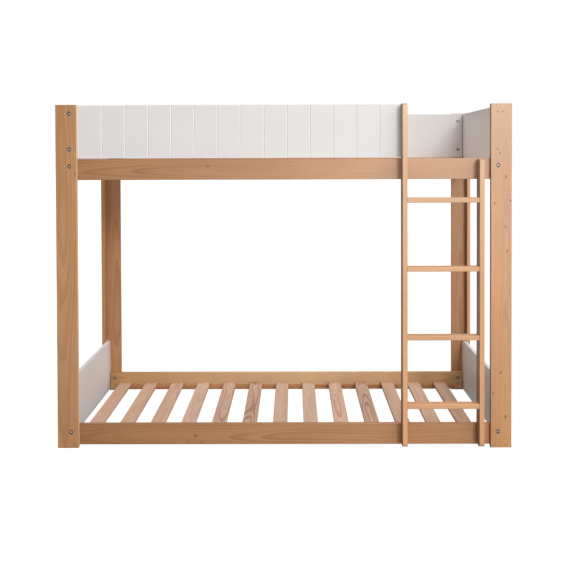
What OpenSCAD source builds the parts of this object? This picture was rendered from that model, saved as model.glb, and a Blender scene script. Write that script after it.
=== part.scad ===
// Single bunk bed with a fixed front ladder. Solid pine frame, white grooved panels.
// Origin on the floor, in the middle of the footprint. +X along the bed, +Y to its back, +Z up.

/* [Overall] */
// Length over the posts
bed_l = 1990; // [1500:5:2500]
// Depth over the posts, without the ladder
bed_w = 1020; // [800:5:1400]
// Height of the posts
bed_h = 1505; // [1200:5:2000]

/* [Posts] */
// Width of the face board of a post
face_w = 92; // [80:1:130]
// Thickness of the face board
face_t = 22; // [18:1:32]
// Width of the side board, measured behind the face board
side_w = 60; // [50:1:90]
// Thickness of the side board
side_t = 18; // [16:1:32]
// Radius of the rounded arrises of the boards
arris_r = 2.5; // [0.5:0.5:4]

/* [Rails] */
// Height of a rail
rail_h = 92; // [75:1:140]
// Thickness of a rail
rail_t = 22; // [18:1:32]
// Underside of the lower rails above the floor
lower_rail_z = 9; // [0:1:300]
// Height of the posts above the top edge of the upper rails
guard_rise = 237; // [200:1:400]

/* [Slats] */
// Number of slats in each deck
slat_n = 13; // [6:1:13]
// Width of a slat
slat_w = 67; // [45:1:80]
// Thickness of a slat
slat_t = 13; // [10:1:22]
// Bare stretch between the left end panel and the first slat
slat_first_gap = 55; // [30:1:120]
// Bare stretch between the last slat and the right end panel
slat_last_gap = 98; // [30:1:120]
// Depth of the cleat that carries the slat ends
cleat_w = 20; // [18:1:35]
// Height of the cleat
cleat_h = 22; // [18:1:35]
// Underside of the cleat above the underside of its rail
cleat_z = 4; // [0:1:20]
// Distance from the end of the cleat to the end panel
cleat_end_gap = 48; // [30:1:60]

/* [Panels] */
// Thickness of the guard panel, back panel and end panels
panel_t = 16; // [14:1:25]
// Height of an end panel
end_panel_h = 265; // [200:1:400]
// Depth of the tops of the end and back panels below the post tops
panel_drop = 3; // [0:1:20]
// Slit between the upper rail and the guard panel above it
panel_slit = 5; // [2:1:20]
// Spacing of the V grooves
groove_pitch = 101.6; // [60:0.1:200]
// Width of a V groove
groove_w = 6; // [3:0.5:10]
// Depth of a V groove
groove_d = 3; // [1:0.5:6]
// Distance from a panel's end to its first groove
groove_first = 59; // [30:1:100]

/* [Ladder] */
// Width over the stiles
ladder_w = 354; // [300:1:450]
// Gap between the right stile and the right front post
ladder_gap = 36; // [10:1:200]
// Thickness of a stile
stile_t = 22; // [20:1:32]
// Depth of a stile, from the face of the rails to its front edge
stile_d = 70; // [50:1:90]
// Bottom end of the stiles above the floor
stile_z = 17; // [0:1:60]
// Depth of the right stile's top below the upper rail's top edge
stile_top_drop = 5; // [0:1:30]
// Radius of the stile corners
stile_r = 11; // [4:1:20]
// Number of rungs
rung_n = 4; // [3:1:4]
// Height of a rung
rung_h = 22; // [18:1:35]
// Depth of a rung
rung_d = 45; // [35:1:50]
// Underside of the lowest rung above the floor
first_rung_z = 182; // [130:1:260]
// Distance from the upper rail's top edge down to the underside of the highest rung
last_rung_drop = 192; // [150:1:300]
// Radius of the rung arrises
rung_r = 4; // [1:0.5:8]

/* [Fasteners] */
// Diameter of the connector bolts
bolt_d = 8; // [6:1:8]
// Diameter of a bolt head
bolt_head_d = 13; // [11:0.5:15]
// Height of a bolt head
bolt_head_h = 5; // [3:0.5:6]
// Depth of the recess that a bolt head sits in
bolt_recess = 7; // [6:0.5:9]
// Across flats of the hexagon socket
bolt_socket = 5; // [4:0.5:6]
// Distance from a bolt's tip to the far face of what it goes through
bolt_tip_gap = 4; // [2:0.5:6]
// Distance from the outer edge of a face board to its bolts
bolt_edge = 60; // [50:1:65]
// Distance from a rail's top edge down to its bolt
bolt_drop = 31; // [25:1:40]
// Length of a sleeve nut
nut_l = 14; // [11:1:15]
// Outer diameter of a sleeve nut
nut_d = 11; // [10:0.5:12]
// Thickness of the sleeve nut's flange
nut_flange = 1.5; // [1:0.5:2]
// Distance from a panel's long edges to its bolts
panel_bolt_edge = 38; // [25:1:60]
// Distance from the edge of a side board to the end panel bolts
side_bolt_edge = 15; // [12:1:25]
// Outer diameter of the threaded inserts in the stiles
insert_d = 12; // [10:0.5:14]
// Length of a threaded insert
insert_l = 18; // [14:1:30]
// Diameter of the dowels
dowel_d = 10; // [6:1:10]
// Length of a dowel
dowel_l = 30; // [26:1:34]
// Depth of a dowel in the first of the two boards that it joins
dowel_in = 14; // [10:1:16]
// Height of the locating dowel above a rail's underside
rail_dowel_z = 29; // [20:1:40]
// Number of dowels between the two boards of a post
post_dowel_n = 5; // [3:1:8]
// Distance from a post's ends to its first dowel
post_dowel_edge = 122; // [110:1:160]
// Distance of a rung's dowels from its middle
rung_dowel_offset = 12; // [8:1:14]
// Shank diameter of the wood screws
screw_d = 4; // [3:0.5:5]
// Head diameter of the wood screws
screw_head_d = 8; // [6:0.5:9]
// Length of the long wood screws
screw_l = 34; // [28:1:36]
// Depth of the recess in a cleat that a screw head sits in
cleat_screw_recess = 6; // [3:1:8]
// Distance from a slat's right edge to the cleat screw beside it
cleat_screw_gap = 20; // [10:1:25]
// Length of the slat screws
slat_screw_l = 25; // [20:1:28]
// Distance from a rail's bolt to its two end screws, along the rail
end_screw_offset = 15; // [13:1:18]
// Height of the lower end screw above a rail's underside
end_screw_z = 16; // [10:1:20]
// Distance from a rail's top edge down to the upper end screw
end_screw_drop = 28; // [15:1:35]

/* [Clearances] */
// Gap between an end panel or the back panel and the board that it butts against
butt_gap = 0.5; // [0.2:0.1:2]
// Gap between the end panels and the ends of the rails, the guard and the back panel
rail_end_gap = 3; // [0.5:0.5:5]
// Gap at each end of a slat
slat_end_gap = 2; // [1:0.5:5]
// Radial clearance of bolts, dowels and screws in their holes
hole_gap = 0.2; // [0.1:0.1:0.5]

/* [Hidden] */
$fn = 48;
// How far a cut runs past the surface that it enters
eps = 1;
wood = "burlywood";
pale_wood = "bisque";
white = "whitesmoke";
steel = "silver";

// Depth of the whole footprint: the ladder stands proud of the front posts.
ladder_proud = stile_d - face_t;
y_front = ladder_proud - (bed_w + ladder_proud) / 2;
y_back = y_front + bed_w;
y_mid = (y_front + y_back) / 2;

// Faces along the bed
x_end = bed_l / 2;
x_panel_out = x_end - side_t;
x_panel_in = x_panel_out - panel_t;
x_bolt = x_end - bolt_edge;
inner_l = 2 * (x_panel_in - rail_end_gap);

// Faces across the bed, measured from the outer face of the posts
rail_y = face_t;
rail_inner = face_t + rail_t;
panel_inner = face_t + panel_t;
side_bolt_y = face_t + side_w - side_bolt_edge;

// Heights
upper_rail_top = bed_h - guard_rise;
upper_rail_z = upper_rail_top - rail_h;
level_z = [lower_rail_z, upper_rail_z];
slat_z = cleat_z + cleat_h;
guard_z = upper_rail_top + panel_slit;
guard_h = bed_h - guard_z;
back_z = upper_rail_top + butt_gap;
back_top = bed_h - panel_drop;
end_panel_z = [lower_rail_z, back_top - end_panel_h];
end_bolt_zs = [for (z = end_panel_z) each [z + panel_bolt_edge, z + end_panel_h - panel_bolt_edge]];
guard_bolt_zs = [guard_z + panel_bolt_edge, bed_h - panel_bolt_edge];
back_bolt_zs = [guard_z + panel_bolt_edge, back_top - panel_bolt_edge];
rail_bolt_zs = [for (z = level_z) z + rail_h - bolt_drop];
post_dowel_step = (bed_h - 2 * post_dowel_edge) / (post_dowel_n - 1);
post_dowel_zs = [for (i = [0 : post_dowel_n - 1]) post_dowel_edge + i * post_dowel_step];

// Slats and cleats
slat_pitch = (2 * x_panel_in - slat_first_gap - slat_last_gap - slat_w) / (slat_n - 1);
slat_xs = [for (i = [0 : slat_n - 1]) -x_panel_in + slat_first_gap + i * slat_pitch];
slat_l = bed_w - 2 * (rail_inner + slat_end_gap);
cleat_x = x_panel_in - cleat_end_gap;
cleat_screw_xs = [for (i = [slat_n - 1 : -2 : 0]) slat_xs[i] + slat_w + cleat_screw_gap];

// Ladder
ladder_x1 = x_end - face_w - ladder_gap;
ladder_x0 = ladder_x1 - ladder_w;
stile_xs = [ladder_x0, ladder_x1 - stile_t];
stile_tops = [bed_h, upper_rail_top - stile_top_drop];
rung_l = ladder_w - 2 * stile_t;
rung_pitch = (upper_rail_top - last_rung_drop - first_rung_z) / (rung_n - 1);
rung_zs = [for (i = [0 : rung_n - 1]) first_rung_z + i * rung_pitch];
stile_y = rail_y - stile_d;
ladder_bolt_zs = [for (z = level_z) z + rail_h / 2];
guard_l = ladder_x0 + stile_t + inner_l / 2;

// Radii of the holes
bolt_hole_r = bolt_d / 2 + hole_gap;
recess_r = bolt_head_d / 2 + hole_gap;
nut_hole_r = nut_d / 2 + hole_gap;
insert_hole_r = insert_d / 2 + hole_gap;
dowel_hole_r = dowel_d / 2 + hole_gap;
screw_head_h = (screw_head_d - screw_d) / 2;

// Names of the sub-parts
sides = ["front", "back"];
hands = ["left", "right"];
levels = ["lower", "upper"];
corners = [for (s = sides, h = hands) str(s, "_", h)];
post_names = [for (c = corners) each [str("post_face_", c), str("post_side_", c)]];
rail_names = [for (k = levels, s = sides) str("rail_", k, "_", s)];
cleat_names = [for (k = levels, s = sides) str("cleat_", k, "_", s)];
end_names = [for (k = levels, h = hands) str("end_panel_", k, "_", h)];
stile_names = [for (h = hands) str("ladder_stile_", h)];
rung_names = [for (i = [1 : rung_n]) str("ladder_rung_", i)];
slat_names = [for (k = levels, i = [1 : slat_n]) str("slat_", k, "_", i)];
panel_names = ["guard_panel", "back_panel"];
fastener_names = ["frame_bolts", "sleeve_nuts", "ladder_inserts", "dowels", "wood_screws", "slat_screws"];

// --- Placing ---

// Places something modelled at the front of the bed on the side that is asked for. The front is at
// y = 0 and the bed runs towards +Y.
module on_side(side) {
    if (side == "front") translate([0, y_front, 0]) children();
    else translate([0, y_back, 0]) mirror([0, 1, 0]) children();
}

// Places something modelled at the right end of the bed on the end that is asked for.
module on_hand(hand) {
    if (hand == "right") children();
    else mirror([1, 0, 0]) children();
}

// Repeats something modelled at the right front corner at all four corners.
module at_corners() {
    for (s = sides, h = hands) on_side(s) on_hand(h) children();
}

// --- Basic shapes ---

module rounded_rect(w, d, r) {
    translate([r, 0]) square([w - 2 * r, d]);
    translate([0, r]) square([w, d - 2 * r]);
    for (x = [r, w - r], y = [r, d - r]) translate([x, y]) circle(r);
}

// Board along Z, with its corner at the origin
module board_z(w, d, l, r = arris_r) {
    linear_extrude(l) rounded_rect(w, d, r);
}

// Board along X: d is its size along Y and h its size along Z
module board_x(l, d, h, r = arris_r) {
    rotate([90, 0, 90]) linear_extrude(l) rounded_rect(d, h, r);
}

// Board along Y: w is its size along X and h its size along Z
module board_y(w, l, h, r = arris_r) {
    translate([0, l, 0]) rotate([90, 0, 0]) linear_extrude(l) rounded_rect(w, h, r);
}

// Cylinder along +Y that starts at the origin
module rod_y(r, l) {
    rotate([-90, 0, 0]) cylinder(r = r, h = l);
}

// Cylinder along -X that starts at the origin
module rod_in(r, l) {
    rotate([0, -90, 0]) cylinder(r = r, h = l);
}

// --- Fasteners, each along +Z from the surface that it enters ---

// stack is the whole thickness that the bolt goes through.
module socket_bolt(stack) {
    l = stack - bolt_tip_gap - bolt_recess;
    translate([0, 0, bolt_recess - bolt_head_h]) difference() {
        union() {
            cylinder(d = bolt_head_d, h = bolt_head_h);
            cylinder(d = bolt_d, h = bolt_head_h + l);
        }
        translate([0, 0, -eps]) cylinder(d = bolt_socket / cos(30), h = bolt_head_h / 2 + eps, $fn = 6);
    }
}

module socket_bolt_hole(l) {
    translate([0, 0, -eps]) cylinder(r = recess_r, h = bolt_recess + eps);
    cylinder(r = bolt_hole_r, h = l);
}

module sleeve_nut() {
    difference() {
        union() {
            cylinder(d = bolt_head_d, h = nut_flange);
            cylinder(d = nut_d, h = nut_l);
        }
        translate([0, 0, nut_flange]) cylinder(r = bolt_hole_r, h = nut_l);
    }
}

module sleeve_nut_hole() {
    translate([0, 0, -eps]) cylinder(r = recess_r, h = nut_flange + eps);
    translate([0, 0, -eps]) cylinder(r = nut_hole_r, h = nut_l + hole_gap + eps);
}

module threaded_insert() {
    difference() {
        cylinder(d = insert_d, h = insert_l);
        translate([0, 0, -eps]) cylinder(r = bolt_hole_r, h = insert_l + 2 * eps);
    }
}

module wood_screw(l) {
    rotate_extrude() polygon([
        [0, 0], [screw_head_d / 2, 0], [screw_d / 2, screw_head_h],
        [screw_d / 2, l - screw_d], [0, l]
    ]);
}

// recess is the depth that the head is sunk below the surface.
module wood_screw_hole(l, recess = eps) {
    rotate_extrude() polygon([
        [0, -recess], [screw_head_d / 2 + hole_gap, -recess], [screw_head_d / 2 + hole_gap, 0],
        [screw_d / 2 + hole_gap, screw_head_h], [screw_d / 2 + hole_gap, l + hole_gap], [0, l + hole_gap]
    ]);
}

// --- Where the fasteners go, at the right front corner with the face board's front at y = 0 ---

// Bolts through a face board, running to the back
module at_face_bolts(zs) {
    for (z = zs) translate([x_bolt, 0, z]) rotate([-90, 0, 0]) children();
}

// The same places on the inner side of what the bolts hold, looking back to the front
module at_face_nuts(zs, inner) {
    for (z = zs) translate([x_bolt, inner, z]) rotate([90, 0, 0]) children();
}

// Bolts through a side board and an end panel, running inwards
module at_end_bolts() {
    for (z = end_bolt_zs) translate([x_end, side_bolt_y, z]) rotate([0, -90, 0]) children();
}

module at_end_nuts() {
    for (z = end_bolt_zs) translate([x_panel_in, side_bolt_y, z]) rotate([0, 90, 0]) children();
}

// Dowels between the face board and the side board
module at_post_dowels() {
    for (z = post_dowel_zs) translate([x_end - side_t / 2, face_t - dowel_in, z]) children();
}

// Locating dowels between a face board and its rails
module at_rail_dowels() {
    for (z = level_z) translate([x_bolt, face_t - dowel_in, z + rail_dowel_z]) children();
}

// Screws through the end of a rail into its face board, entered from the rail's inner face
module at_end_screws() {
    for (z = level_z, dz = [end_screw_z, rail_h - end_screw_drop])
        translate([x_bolt - end_screw_offset, rail_inner, z + dz]) rotate([90, 0, 0]) children();
}

// Screws through a cleat into its rail
module at_cleat_screws(zs) {
    for (x = cleat_screw_xs, z = zs)
        translate([x, rail_inner + cleat_w, z + cleat_z + cleat_h / 2]) rotate([90, 0, 0])
            translate([0, 0, cleat_screw_recess]) children();
}

// Screws through the slat ends into the cleats, entered from the top of the slats
module at_slat_screws(zs) {
    for (x = slat_xs, z = zs)
        translate([x + slat_w / 2, rail_inner + cleat_w / 2, z + slat_z + slat_t])
            rotate([180, 0, 0]) children();
}

// Bolts through the front rails into the stiles, entered from the rails' inner faces
module at_ladder_bolts() {
    for (x = stile_xs, z = ladder_bolt_zs)
        translate([x + stile_t / 2, rail_inner, z]) rotate([90, 0, 0]) children();
}

module at_ladder_inserts() {
    for (x = stile_xs, z = ladder_bolt_zs)
        translate([x + stile_t / 2, rail_y, z]) rotate([90, 0, 0]) children();
}

// Screws through the guard panel into the left stile
module at_guard_screws() {
    for (z = guard_bolt_zs)
        translate([ladder_x0 + stile_t / 2, panel_inner, z]) rotate([90, 0, 0]) children();
}

// Dowels along X between a stile and the rungs: those of the left stile, then those of the right one
module at_rung_dowels() {
    for (x = [ladder_x0 + stile_t - dowel_in, ladder_x1 - stile_t + dowel_in - dowel_l], z = rung_zs,
         y = [-rung_dowel_offset, rung_dowel_offset])
        translate([x, stile_y + rung_d / 2 + y, z + rung_h / 2]) rotate([0, 90, 0]) children();
}

// --- Posts ---

module post_face(side, hand) {
    panel_bolt_zs = side == "back" ? back_bolt_zs : hand == "left" ? guard_bolt_zs : [];
    color(wood) on_side(side) on_hand(hand) difference() {
        translate([x_end - face_w, 0, 0]) board_z(face_w, face_t, bed_h);
        at_face_bolts(concat(rail_bolt_zs, panel_bolt_zs)) socket_bolt_hole(face_t + eps);
        at_face_nuts(rail_bolt_zs, rail_inner) sleeve_nut_hole();
        at_face_nuts(panel_bolt_zs, panel_inner) sleeve_nut_hole();
        at_post_dowels() rod_y(dowel_hole_r, dowel_in + eps);
        at_rail_dowels() rod_y(dowel_hole_r, dowel_in + eps);
        at_end_screws() wood_screw_hole(screw_l);
    }
}

module post_side(side, hand) {
    color(wood) on_side(side) on_hand(hand) difference() {
        translate([x_end - side_t, face_t, 0]) board_z(side_t, side_w, bed_h);
        at_end_bolts() socket_bolt_hole(side_t + eps);
        at_end_nuts() sleeve_nut_hole();
        at_post_dowels() rod_y(dowel_hole_r, dowel_l + hole_gap);
    }
}

// --- Rails, cleats and slats ---

module rail(level, side) {
    z = level_z[level];
    color(wood) on_side(side) difference() {
        translate([-inner_l / 2, rail_y, z]) board_x(inner_l, rail_t, rail_h);
        for (h = hands) on_hand(h) {
            at_face_bolts([rail_bolt_zs[level]]) cylinder(r = bolt_hole_r, h = rail_inner + eps);
            at_face_nuts([rail_bolt_zs[level]], rail_inner) sleeve_nut_hole();
            at_rail_dowels() rod_y(dowel_hole_r, dowel_in + rail_t + eps);
            at_end_screws() wood_screw_hole(screw_l);
        }
        at_cleat_screws([z]) wood_screw_hole(screw_l, cleat_screw_recess + eps);
        if (side == "front") at_ladder_bolts() socket_bolt_hole(rail_t + eps);
    }
}

module cleat(level, side) {
    z = level_z[level];
    color(wood) on_side(side) difference() {
        translate([-cleat_x, rail_inner, z + cleat_z]) board_x(2 * cleat_x, cleat_w, cleat_h);
        at_cleat_screws([z]) wood_screw_hole(screw_l, cleat_screw_recess + eps);
        at_slat_screws([z]) wood_screw_hole(slat_screw_l);
    }
}

module slat(level, index) {
    z = level_z[level] + slat_z;
    color(pale_wood) difference() {
        translate([slat_xs[index], y_mid - slat_l / 2, z]) board_y(slat_w, slat_l, slat_t);
        for (s = sides) on_side(s) at_slat_screws([level_z[level]]) wood_screw_hole(slat_screw_l);
    }
}

// --- Panels ---

// V grooves along Z, cut into the face at y = 0 of a panel of length l that starts at x = 0
module grooves(l, h) {
    r = groove_w / 2;
    for (x = [groove_first : groove_pitch : l - groove_first])
        translate([x, 0, -eps]) linear_extrude(h + 2 * eps)
            polygon([[-r, -eps], [-r, 0], [0, groove_d], [r, 0], [r, -eps]]);
}

module grooved_panel(l, h) {
    difference() {
        board_z(l, panel_t, h, arris_r / 2);
        grooves(l, h);
    }
}

module end_panel(level, hand) {
    l = bed_w - 2 * (face_t + butt_gap);
    color(white) on_hand(hand) difference() {
        translate([x_panel_out, y_mid - l / 2, end_panel_z[level]]) rotate([0, 0, 90])
            grooved_panel(l, end_panel_h);
        for (s = sides) on_side(s) {
            at_end_bolts() cylinder(r = bolt_hole_r, h = side_t + panel_t + eps);
            at_end_nuts() sleeve_nut_hole();
        }
    }
}

module guard_panel() {
    color(white) on_side("front") difference() {
        translate([-inner_l / 2, rail_y, guard_z]) grooved_panel(guard_l, guard_h);
        on_hand("left") {
            at_face_bolts(guard_bolt_zs) cylinder(r = bolt_hole_r, h = panel_inner + eps);
            at_face_nuts(guard_bolt_zs, panel_inner) sleeve_nut_hole();
        }
        at_guard_screws() wood_screw_hole(screw_l);
    }
}

module back_panel() {
    color(white) on_side("back") difference() {
        translate([-inner_l / 2, rail_y, back_z]) grooved_panel(inner_l, back_top - back_z);
        for (h = hands) on_hand(h) {
            at_face_bolts(back_bolt_zs) cylinder(r = bolt_hole_r, h = panel_inner + eps);
            at_face_nuts(back_bolt_zs, panel_inner) sleeve_nut_hole();
        }
    }
}

// --- Ladder ---

module ladder_stile(index) {
    l = stile_tops[index] - stile_z;
    color(wood) on_side("front") difference() {
        translate([stile_xs[index], stile_y, stile_z]) intersection() {
            rotate([90, 0, 90]) linear_extrude(stile_t) rounded_rect(stile_d, l, stile_r);
            board_z(stile_t, stile_d, l);
        }
        at_rung_dowels() cylinder(r = dowel_hole_r, h = dowel_l);
        at_ladder_inserts() translate([0, 0, -eps])
            cylinder(r = insert_hole_r, h = insert_l + hole_gap + eps);
        at_guard_screws() wood_screw_hole(screw_l);
    }
}

module ladder_rung(index) {
    color(wood) on_side("front") difference() {
        translate([ladder_x0 + stile_t, stile_y, rung_zs[index]]) board_x(rung_l, rung_d, rung_h, rung_r);
        at_rung_dowels() cylinder(r = dowel_hole_r, h = dowel_l);
    }
}

// --- Fastener groups ---

module frame_bolts() {
    color(steel) {
        at_corners() at_face_bolts(rail_bolt_zs) socket_bolt(rail_inner);
        at_corners() at_end_bolts() socket_bolt(side_t + panel_t);
        on_side("front") on_hand("left") at_face_bolts(guard_bolt_zs) socket_bolt(panel_inner);
        for (h = hands) on_side("back") on_hand(h) at_face_bolts(back_bolt_zs) socket_bolt(panel_inner);
        on_side("front") at_ladder_bolts() socket_bolt(rail_t + insert_l);
    }
}

module sleeve_nuts() {
    color(steel) {
        at_corners() at_face_nuts(rail_bolt_zs, rail_inner) sleeve_nut();
        at_corners() at_end_nuts() sleeve_nut();
        on_side("front") on_hand("left") at_face_nuts(guard_bolt_zs, panel_inner) sleeve_nut();
        for (h = hands) on_side("back") on_hand(h) at_face_nuts(back_bolt_zs, panel_inner) sleeve_nut();
    }
}

module ladder_inserts() {
    color(steel) on_side("front") at_ladder_inserts() threaded_insert();
}

module dowels() {
    color(pale_wood) {
        at_corners() at_post_dowels() rod_y(dowel_d / 2, dowel_l);
        at_corners() at_rail_dowels() rod_y(dowel_d / 2, dowel_l);
        on_side("front") at_rung_dowels() cylinder(d = dowel_d, h = dowel_l);
    }
}

module wood_screws() {
    color(steel) {
        at_corners() at_end_screws() wood_screw(screw_l);
        for (s = sides) on_side(s) at_cleat_screws(level_z) wood_screw(screw_l);
        on_side("front") at_guard_screws() wood_screw(screw_l);
    }
}

module slat_screws() {
    color(steel) for (s = sides) on_side(s) at_slat_screws(level_z) wood_screw(slat_screw_l);
}

// --- Assembly ---

for (s = sides, h = hands) {
    post_face(s, h);
    post_side(s, h);
}
for (k = [0, 1], s = sides) {
    rail(k, s);
    cleat(k, s);
}
for (k = [0, 1], h = hands)
    end_panel(k, h);
for (k = [0, 1], i = [0 : slat_n - 1])
    slat(k, i);
for (i = [0, 1])
    ladder_stile(i);
for (i = [0 : rung_n - 1])
    ladder_rung(i);
guard_panel();
back_panel();
frame_bolts();
sleeve_nuts();
ladder_inserts();
dowels();
wood_screws();
slat_screws();
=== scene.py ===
import math
import random

import bmesh
import bpy
from mathutils import Matrix, Vector


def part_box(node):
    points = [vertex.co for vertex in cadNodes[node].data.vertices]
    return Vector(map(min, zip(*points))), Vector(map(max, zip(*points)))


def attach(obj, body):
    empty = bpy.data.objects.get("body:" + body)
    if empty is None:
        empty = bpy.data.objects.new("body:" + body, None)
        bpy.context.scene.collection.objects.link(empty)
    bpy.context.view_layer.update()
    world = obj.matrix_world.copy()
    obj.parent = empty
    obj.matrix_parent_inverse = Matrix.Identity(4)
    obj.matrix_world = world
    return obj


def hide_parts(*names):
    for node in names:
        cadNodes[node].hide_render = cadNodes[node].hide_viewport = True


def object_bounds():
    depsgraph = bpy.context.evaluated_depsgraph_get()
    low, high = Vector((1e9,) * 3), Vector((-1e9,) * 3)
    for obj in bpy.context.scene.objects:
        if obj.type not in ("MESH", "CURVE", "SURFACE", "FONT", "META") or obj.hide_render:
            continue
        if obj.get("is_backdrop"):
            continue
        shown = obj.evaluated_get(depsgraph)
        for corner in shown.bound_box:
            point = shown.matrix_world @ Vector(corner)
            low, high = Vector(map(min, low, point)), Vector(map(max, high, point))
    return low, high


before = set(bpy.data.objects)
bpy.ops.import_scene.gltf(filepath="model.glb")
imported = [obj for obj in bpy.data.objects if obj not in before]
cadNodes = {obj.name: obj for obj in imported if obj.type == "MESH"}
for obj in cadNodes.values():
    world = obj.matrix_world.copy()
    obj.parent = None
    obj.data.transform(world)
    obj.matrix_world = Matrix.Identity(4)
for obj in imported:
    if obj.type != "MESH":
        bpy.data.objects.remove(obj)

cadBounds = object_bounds()
scene = bpy.context.scene
scene.view_settings.view_transform = "Standard"
draw = random.Random(41)
mm = 0.001

# The camera's distance is measured from the front of the posts.
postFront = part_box("post_face_front_left")[0].y

cameraSet = {
    "x": 0.0447, "back": 3.994, "z": 1.2839,
    "lens": 57.08, "shiftY": -0.20,
    "turnLeft": 0.297, "tiltDown": 1.153, "roll": -0.181,
}


def makeCamera(s):
    data = bpy.data.cameras.new("studioCamera")
    data.lens = s["lens"]
    data.sensor_width = 36
    data.shift_x = 0
    data.shift_y = s["shiftY"]
    data.clip_start = 0.05
    data.clip_end = 200
    camera = bpy.data.objects.new("studioCamera", data)
    scene.collection.objects.link(camera)
    turn = Matrix.Rotation(math.radians(s["turnLeft"]), 4, "Z")
    tilt = Matrix.Rotation(math.radians(90 - s["tiltDown"]), 4, "X")
    roll = Matrix.Rotation(math.radians(s["roll"]), 4, "Z")
    place = Matrix.Translation((s["x"], postFront - s["back"], s["z"]))
    camera.matrix_world = place @ turn @ tilt @ roll
    scene.camera = camera


makeCamera(cameraSet)
print("camera made")


# Sets a socket to a constant, or links another socket to it.
def plug(tree, value, socket):
    if value is None:
        return
    if isinstance(value, bpy.types.NodeSocket):
        tree.links.new(value, socket)
    elif hasattr(socket.default_value, "__len__") and len(socket.default_value) == 4:
        socket.default_value = (*value[:3], 1)
    else:
        socket.default_value = value


def calc(tree, operation, a, b=None, c=None):
    node = tree.nodes.new("ShaderNodeMath")
    node.operation = operation
    for value, socket in zip((a, b, c), node.inputs):
        plug(tree, value, socket)
    return node.outputs[0]


def vecCalc(tree, operation, a, b=None, scale=None):
    node = tree.nodes.new("ShaderNodeVectorMath")
    node.operation = operation
    plug(tree, a, node.inputs[0])
    plug(tree, b, node.inputs[1])
    if scale is not None:
        plug(tree, scale, node.inputs["Scale"])
    return node.outputs["Value" if operation in ("LENGTH", "DISTANCE") else "Vector"]


# A smooth step from one level to another as value goes from low to high
def ease(tree, value, low, high, toLow=0.0, toHigh=1.0):
    node = tree.nodes.new("ShaderNodeMapRange")
    node.interpolation_type = "SMOOTHSTEP"
    levels = {"Value": value, "From Min": low, "From Max": high, "To Min": toLow, "To Max": toHigh}
    for key, level in levels.items():
        plug(tree, level, node.inputs[key])
    return node.outputs["Result"]


def noise(tree, vector, scale=1.0, detail=2.0, rough=0.5, out="Fac"):
    node = tree.nodes.new("ShaderNodeTexNoise")
    plug(tree, vector, node.inputs["Vector"])
    node.inputs["Scale"].default_value = scale
    node.inputs["Detail"].default_value = detail
    node.inputs["Roughness"].default_value = rough
    return node.outputs[out]


def stretch(tree, vector, factors):
    return vecCalc(tree, "MULTIPLY", vector, factors)


def split(tree, vector):
    node = tree.nodes.new("ShaderNodeSeparateXYZ")
    plug(tree, vector, node.inputs[0])
    return node.outputs[0], node.outputs[1], node.outputs[2]


def mixColour(tree, factor, a, b):
    node = tree.nodes.new("ShaderNodeMix")
    node.data_type = "RGBA"
    node.clamp_factor = True
    plug(tree, factor, node.inputs[0])
    plug(tree, a, node.inputs[6])
    plug(tree, b, node.inputs[7])
    return node.outputs[2]


# Lays a share of another colour over the places that a mask picks out.
def tint(tree, colour, mask, share, other):
    return mixColour(tree, calc(tree, "MULTIPLY", mask, share), colour, other)


def brighten(tree, colour, value):
    node = tree.nodes.new("ShaderNodeHueSaturation")
    plug(tree, value, node.inputs["Value"])
    plug(tree, colour, node.inputs["Color"])
    return node.outputs[0]


def attribute(tree, name):
    node = tree.nodes.new("ShaderNodeAttribute")
    node.attribute_name = name
    return node.outputs["Vector"]


# How much a face looks along X: 1 to the right, -1 to the left
def facingRight(tree):
    return split(tree, tree.nodes.new("ShaderNodeNewGeometry").outputs["True Normal"])[0]


# 1 in the middle of a board's length, falling to 0 at its ends
def bowAlong(tree, place, half):
    along = split(tree, vecCalc(tree, "DIVIDE", place, half))[0]
    return calc(tree, "SUBTRACT", 1, calc(tree, "MULTIPLY", along, along))


keySet = {
    "at": (2.05, -7.3, 3.45), "aim": (0.0, 0.0, 0.85), "size": (1.5, 1.5),
    "power": 225, "colour": (0.97, 0.985, 1.0),
}
# Strength of the soft light from all round, and what is added from each side
worldSet = {
    "even": 0.03, "right": 0.8, "above": 1.7, "front": 0.05,
    "colour": (1.0, 0.985, 0.97),
}


def makeLight(name, s):
    data = bpy.data.lights.new(name, "AREA")
    data.shape = "RECTANGLE"
    data.size, data.size_y = s["size"]
    data.energy = s["power"]
    data.color = s["colour"]
    lamp = bpy.data.objects.new(name, data)
    scene.collection.objects.link(lamp)
    lamp.location = s["at"]
    aim = Vector(s["aim"]) - Vector(s["at"])
    lamp.rotation_euler = aim.to_track_quat("-Z", "Y").to_euler()


makeLight("keyLight", keySet)


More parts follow.
